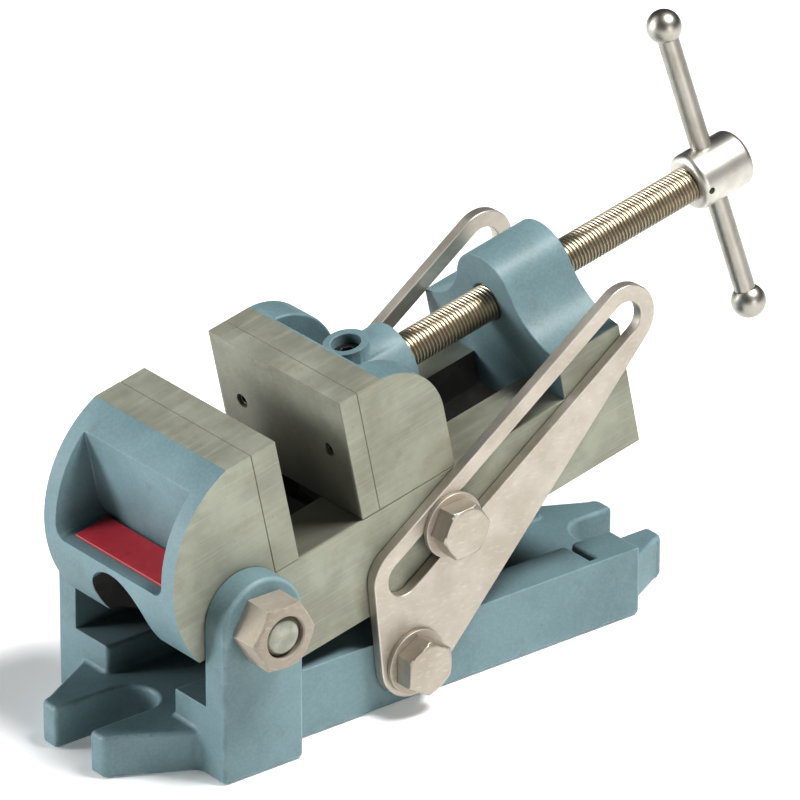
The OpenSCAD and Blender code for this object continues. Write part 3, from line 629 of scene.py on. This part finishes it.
def castingRadius(edge):
    casting = tiltingCasting
    middle = onBed((edge.verts[0].co + edge.verts[1].co) / 2)
    finishes = {bedFinish(face) for face in edge.link_faces}
    if nearHole(middle, casting["holes"]) or finishes == {hollow}:
        return 0
    if machined in finishes:
        return casting["groundRound"]
    if math.hypot(middle.x - casting["bossX"], middle.y) < casting["bossReach"]:
        return casting["bossRound"]
    if edge.is_convex:
        pocket = abs(fromNose(middle)) < casting["noseSlack"]
        return casting["pocketRound"] if pocket else casting["castRound"]
    return casting["cove"] if wideFaces(edge, casting["coveArea"]) else 0


roundedCopy("vise_body", "tiltingBody", castingLooks, bedFinish, castingRadius)
roundedCopy("moving_jaw", "movingJaw", castingLooks, bedFinish, castingRadius)
print("tilting castings done")

baseCasting = {  # in mm
    "castRound": 1.8, "cove": 1.8, "coveArea": 40, "earInside": 38.3, "earSlack": 0.1,
    "holes": [(0, tiltedBed["pivotHeight"], 9), (72.7, 18.6, 8)],
}


def baseRadius(edge):
    middle = (edge.verts[0].co + edge.verts[1].co) / (2 * mm)
    if nearHole(middle, baseCasting["holes"]):
        return 0
    if edge.is_convex:
        return baseCasting["castRound"]
    if abs(abs(middle.y) - baseCasting["earInside"]) < baseCasting["earSlack"]:
        return 0  # the tilting body comes down here
    return baseCasting["cove"] if wideFaces(edge, baseCasting["coveArea"]) else 0


roundedCopy("base", "baseCasting", ["enamel"], oneFinish, baseRadius)
print("base done")

hardware = {  # node: piece name, finish, rule for its edges, radius in mm
    "fixed_jaw_plate": ("fixedJawPlate", "ground", evenRadius, 0.35),
    "moving_jaw_plate": ("movingJawPlate", "ground", evenRadius, 0.35),
    "label_plate": ("labelPlate", "red", evenRadius, 0.25),
    "near_arm": ("nearArm", "plated", evenRadius, 0.55),
    "far_arm": ("farArm", "plated", evenRadius, 0.55),
    "near_clamp_bolt": ("nearClampBolt", "plated", longRadius, 0.3),
    "far_clamp_bolt": ("farClampBolt", "plated", longRadius, 0.3),
    "near_clamp_washer": ("nearClampWasher", "washer", evenRadius, 0.35),
    "far_clamp_washer": ("farClampWasher", "washer", evenRadius, 0.35),
    "arm_bolts": ("armBolts", "plated", longRadius, 0.3),
    "arm_washers": ("armWashers", "washer", evenRadius, 0.35),
    "pivot_bolt": ("pivotBolt", "oiled", longRadius, 0.3),
    "pivot_nut": ("pivotNut", "nut", longRadius, 0.3),
    "fixed_jaw_screws": ("fixedJawScrews", "black", evenRadius, 0.2),
    "moving_jaw_screws": ("movingJawScrews", "black", evenRadius, 0.2),
    "keeper_plate": ("keeperPlate", "black", evenRadius, 0.4),
    "keeper_screws": ("keeperScrews", "black", evenRadius, 0.25),
    "retaining_screw": ("retainingScrew", "black", evenRadius, 0.25),
    "screw_head": ("screwHead", "head", evenRadius, 0),
    "head_pin": ("headPin", "bright", evenRadius, 0.2),
}
for node, (name, finish, rule, radius) in hardware.items():
    roundedCopy(node, name, [finish], oneFinish, rule(radius))
print("hardware done:", len(hardware))


def lathe(bm, outline, place, steps):  # closed turned form from (along, radius) points
    rings = []
    turn = [2 * math.pi * k / steps for k in range(steps)]
    for along, radius in outline:
        angles = turn if radius else [0]
        rings.append([bm.verts.new(place(along, radius * math.cos(a), radius * math.sin(a))) for a in angles])
    for first, second in zip(rings, rings[1:]):
        for k in range(steps):
            corners = [first[k % len(first)], first[(k + 1) % len(first)],
                       second[(k + 1) % len(second)], second[k % len(second)]]
            bm.faces.new(list(dict.fromkeys(corners)))


def turnedPiece(bm, name, node, finish):
    bmesh.ops.recalc_face_normals(bm, faces=bm.faces)
    mesh = bpy.data.meshes.new(name)
    bm.to_mesh(mesh)
    bm.free()
    mesh.materials.append(looks[finish])
    mesh.shade_smooth()
    mesh.set_sharp_from_angle(angle=rounding["turnedAngle"])
    settle(sceneObject(name, mesh), node)


leadScrew = {  # along the bed's X, in mm
    "start": 107.3, "end": 246.5, "lead": 3.0, "crestRadius": 6.75, "rootRadius": 6.2, "steps": 44,
    "spareTurns": 2, "cutSlack": 0.0001,
    "profile": [(0.0, 0), (0.08, 0), (0.21, 1), (0.29, 1), (0.42, 0),  # shares of the lead and the depth
                (0.50, 0), (0.58, 0), (0.71, 1), (0.79, 1), (0.92, 0)],
    "journal": [(76.3, 0), (76.3, 5.1), (76.7, 5.5), (85.5, 5.5), (85.5, 4.0),  # along, radius
                (90.5, 4.0), (90.5, 5.5), (109.0, 5.5), (109.0, 0)],
    "spigot": [(245.0, 0), (245.0, 4.0), (252.0, 4.0), (252.0, 0)],
}


def onScrew(along, across, up):  # a place by the lead screw's axis
    return fromBed(along, across, tiltedBed["screwHeight"] + up)


def threadForm(bm):
    screw, steps, count = leadScrew, leadScrew["steps"], len(leadScrew["profile"])
    depth = screw["crestRadius"] - screw["rootRadius"]
    turns = int((screw["end"] - screw["start"]) / screw["lead"]) + screw["spareTurns"] + 1
    columns = []
    for k in range(steps):
        angle = 2 * math.pi * k / steps
        column = []
        for row in range(turns * count + 1):
            share, high = screw["profile"][row % count]
            x = screw["start"] + (row // count + share - screw["spareTurns"] + k / steps) * screw["lead"]
            radius = screw["rootRadius"] + depth * high
            column.append(bm.verts.new(onScrew(x, radius * math.cos(angle), radius * math.sin(angle))))
        columns.append(column)
    columns.append(columns[0][count:] + [None] * count)  # a full turn is one lead further on
    for left, right in zip(columns, columns[1:]):
        for row in range(turns * count):
            corners = [left[row], right[row], right[row + 1], left[row + 1]]
            if None not in corners:
                bm.faces.new(corners)


def trimThread(bm):  # cuts both ends square and closes them
    along = bedTurn.transposed() @ Vector((1, 0, 0))
    for x, way in ((leadScrew["start"], -1), (leadScrew["end"], 1)):
        cut = bmesh.ops.bisect_plane(bm, geom=bm.verts[:] + bm.edges[:] + bm.faces[:],
                                     dist=leadScrew["cutSlack"] * mm, plane_co=onScrew(x, 0, 0),
                                     plane_no=along * way, clear_outer=True)
        rim = [part for part in cut["geom_cut"] if isinstance(part, bmesh.types.BMEdge)]
        bmesh.ops.edgenet_fill(bm, edges=rim)


def makeLeadScrew():
    bm = bmesh.new()
    threadForm(bm)
    trimThread(bm)
    for outline in ("journal", "spigot"):
        lathe(bm, leadScrew[outline], onScrew, leadScrew["steps"])
    turnedPiece(bm, "leadScrew", "lead_screw", "screw")


makeLeadScrew()
print("lead screw done")

handle = {  # bar and balls, along the bar from the middle of the screw's head, in mm
    "x": 257.0, "turn": math.radians(11.8), "shift": 3.0, "half": 56.5, "barRadius": 4.0,
    "ballRadius": 6.5, "mouth": 0.3, "steps": 56, "arc": 22,
}


def onHandle(along, across, up):
    reach, sine, cosine = along + handle["shift"], math.sin(handle["turn"]), math.cos(handle["turn"])
    return onScrew(handle["x"] + across, reach * sine + up * cosine, reach * cosine - up * sine)


def ballOutline(side):
    bar, ball, mouth, arc = (handle[name] for name in ("barRadius", "ballRadius", "mouth", "arc"))
    first = math.acos((bar + mouth) / ball)
    angles = [-first + (math.pi / 2 + first) * k / arc for k in range(arc)]
    points = [(0, 0), (0, bar), (-ball * math.sin(first) + mouth, bar)]
    points += [(ball * math.sin(a), ball * math.cos(a)) for a in angles] + [(ball, 0)]
    return [(side * (handle["half"] + along), radius) for along, radius in points]


def makeHandle():
    half, radius = handle["half"], handle["barRadius"]
    bar = [(-half, 0), (-half, radius), (half, radius), (half, 0)]
    for name, node, outline in (("handleBar", "handle_bar", bar),
                                ("upperBall", "upper_ball", ballOutline(1)),
                                ("lowerBall", "lower_ball", ballOutline(-1))):
        bm = bmesh.new()
        lathe(bm, outline, onHandle, handle["steps"])
        turnedPiece(bm, name, node, "bright")


makeHandle()
print("handle done")

studio = {  # camera and lights
    "azimuth": -38.42, "elevation": 26.02, "target": Vector((0.09836, -0.00207, 0.09863)),
    "distance": 3.2245, "lens": 404.55, "sensor": 36.0, "clipEnd": 100,
    "lights": [  # name, place, power, size, colour
        ("side", (0.15, -2.40, 0.55), 13, 1.0, (1.0, 0.985, 0.955)),
        ("front", (-2.1, 1.45, 0.62), 54, 0.8, (0.98, 0.99, 1.0)),
        ("top", (0.80, -0.80, 2.25), 79, 0.8, (1.0, 0.995, 0.985)),
        ("back", (-1.5, 1.65, 1.8), 16, 1.4, (0.97, 0.985, 1.0)),
    ],
    "world": 0.015, "gamma": 0.8,
}


def aim(thing, place, way):  # puts a camera or light at a place, looking along way
    thing.location = place
    thing.rotation_mode = "QUATERNION"
    thing.rotation_quaternion = way.to_track_quat("-Z", "Y")


def makeCamera():
    azimuth, elevation = math.radians(studio["azimuth"]), math.radians(studio["elevation"])
    level = math.cos(elevation)
    back = Vector((math.sin(azimuth) * level, -math.cos(azimuth) * level, math.sin(elevation)))
    data = bpy.data.cameras.new("camera")
    data.lens, data.sensor_width, data.clip_end = studio["lens"], studio["sensor"], studio["clipEnd"]
    camera = sceneObject("camera", data)
    aim(camera, studio["target"] + back * studio["distance"], -back)
    bpy.context.scene.camera = camera


def makeLights():
    for name, place, power, size, color in studio["lights"]:
        data = bpy.data.lights.new(name, "AREA")
        data.energy, data.size, data.color = power, size, color
        aim(sceneObject(name, data), place, studio["target"] - Vector(place))
    world = bpy.data.worlds.new("studioWorld")
    world.use_nodes = True
    background = world.node_tree.nodes["Background"]
    background.inputs["Color"].default_value = (1, 1, 1, 1)
    background.inputs["Strength"].default_value = studio["world"]
    bpy.context.scene.world = world
    bpy.context.scene.view_settings.view_transform = "Standard"
    bpy.context.scene.view_settings.gamma = studio["gamma"]


paleFloor = {
    "main": (0.93, 0.93, 0.93), "pale": (0.96, 0.96, 0.955), "cloud": (3, 2), "roughness": 0.9,
    "glow": 0.2, "halfSize": 8, "drop": 0.2 * mm,
}


def makeFloor():
    finish = Finish("paleFloor")
    cloud = finish.noise(finish.place(), *paleFloor["cloud"])
    material = finish.surface({"Base Color": finish.mix(cloud, paleFloor["main"], paleFloor["pale"]),
                               "Roughness": paleFloor["roughness"],
                               "Emission Color": (1, 1, 1, 1), "Emission Strength": paleFloor["glow"]})
    bm = bmesh.new()
    bmesh.ops.create_grid(bm, x_segments=1, y_segments=1, size=paleFloor["halfSize"])
    mesh = bpy.data.meshes.new("floor")
    bm.to_mesh(mesh)
    bm.free()
    mesh.materials.append(material)
    floor = sceneObject("floor", mesh)
    floor.location.z = -paleFloor["drop"]


makeCamera()
makeLights()
makeFloor()
print("studio done")
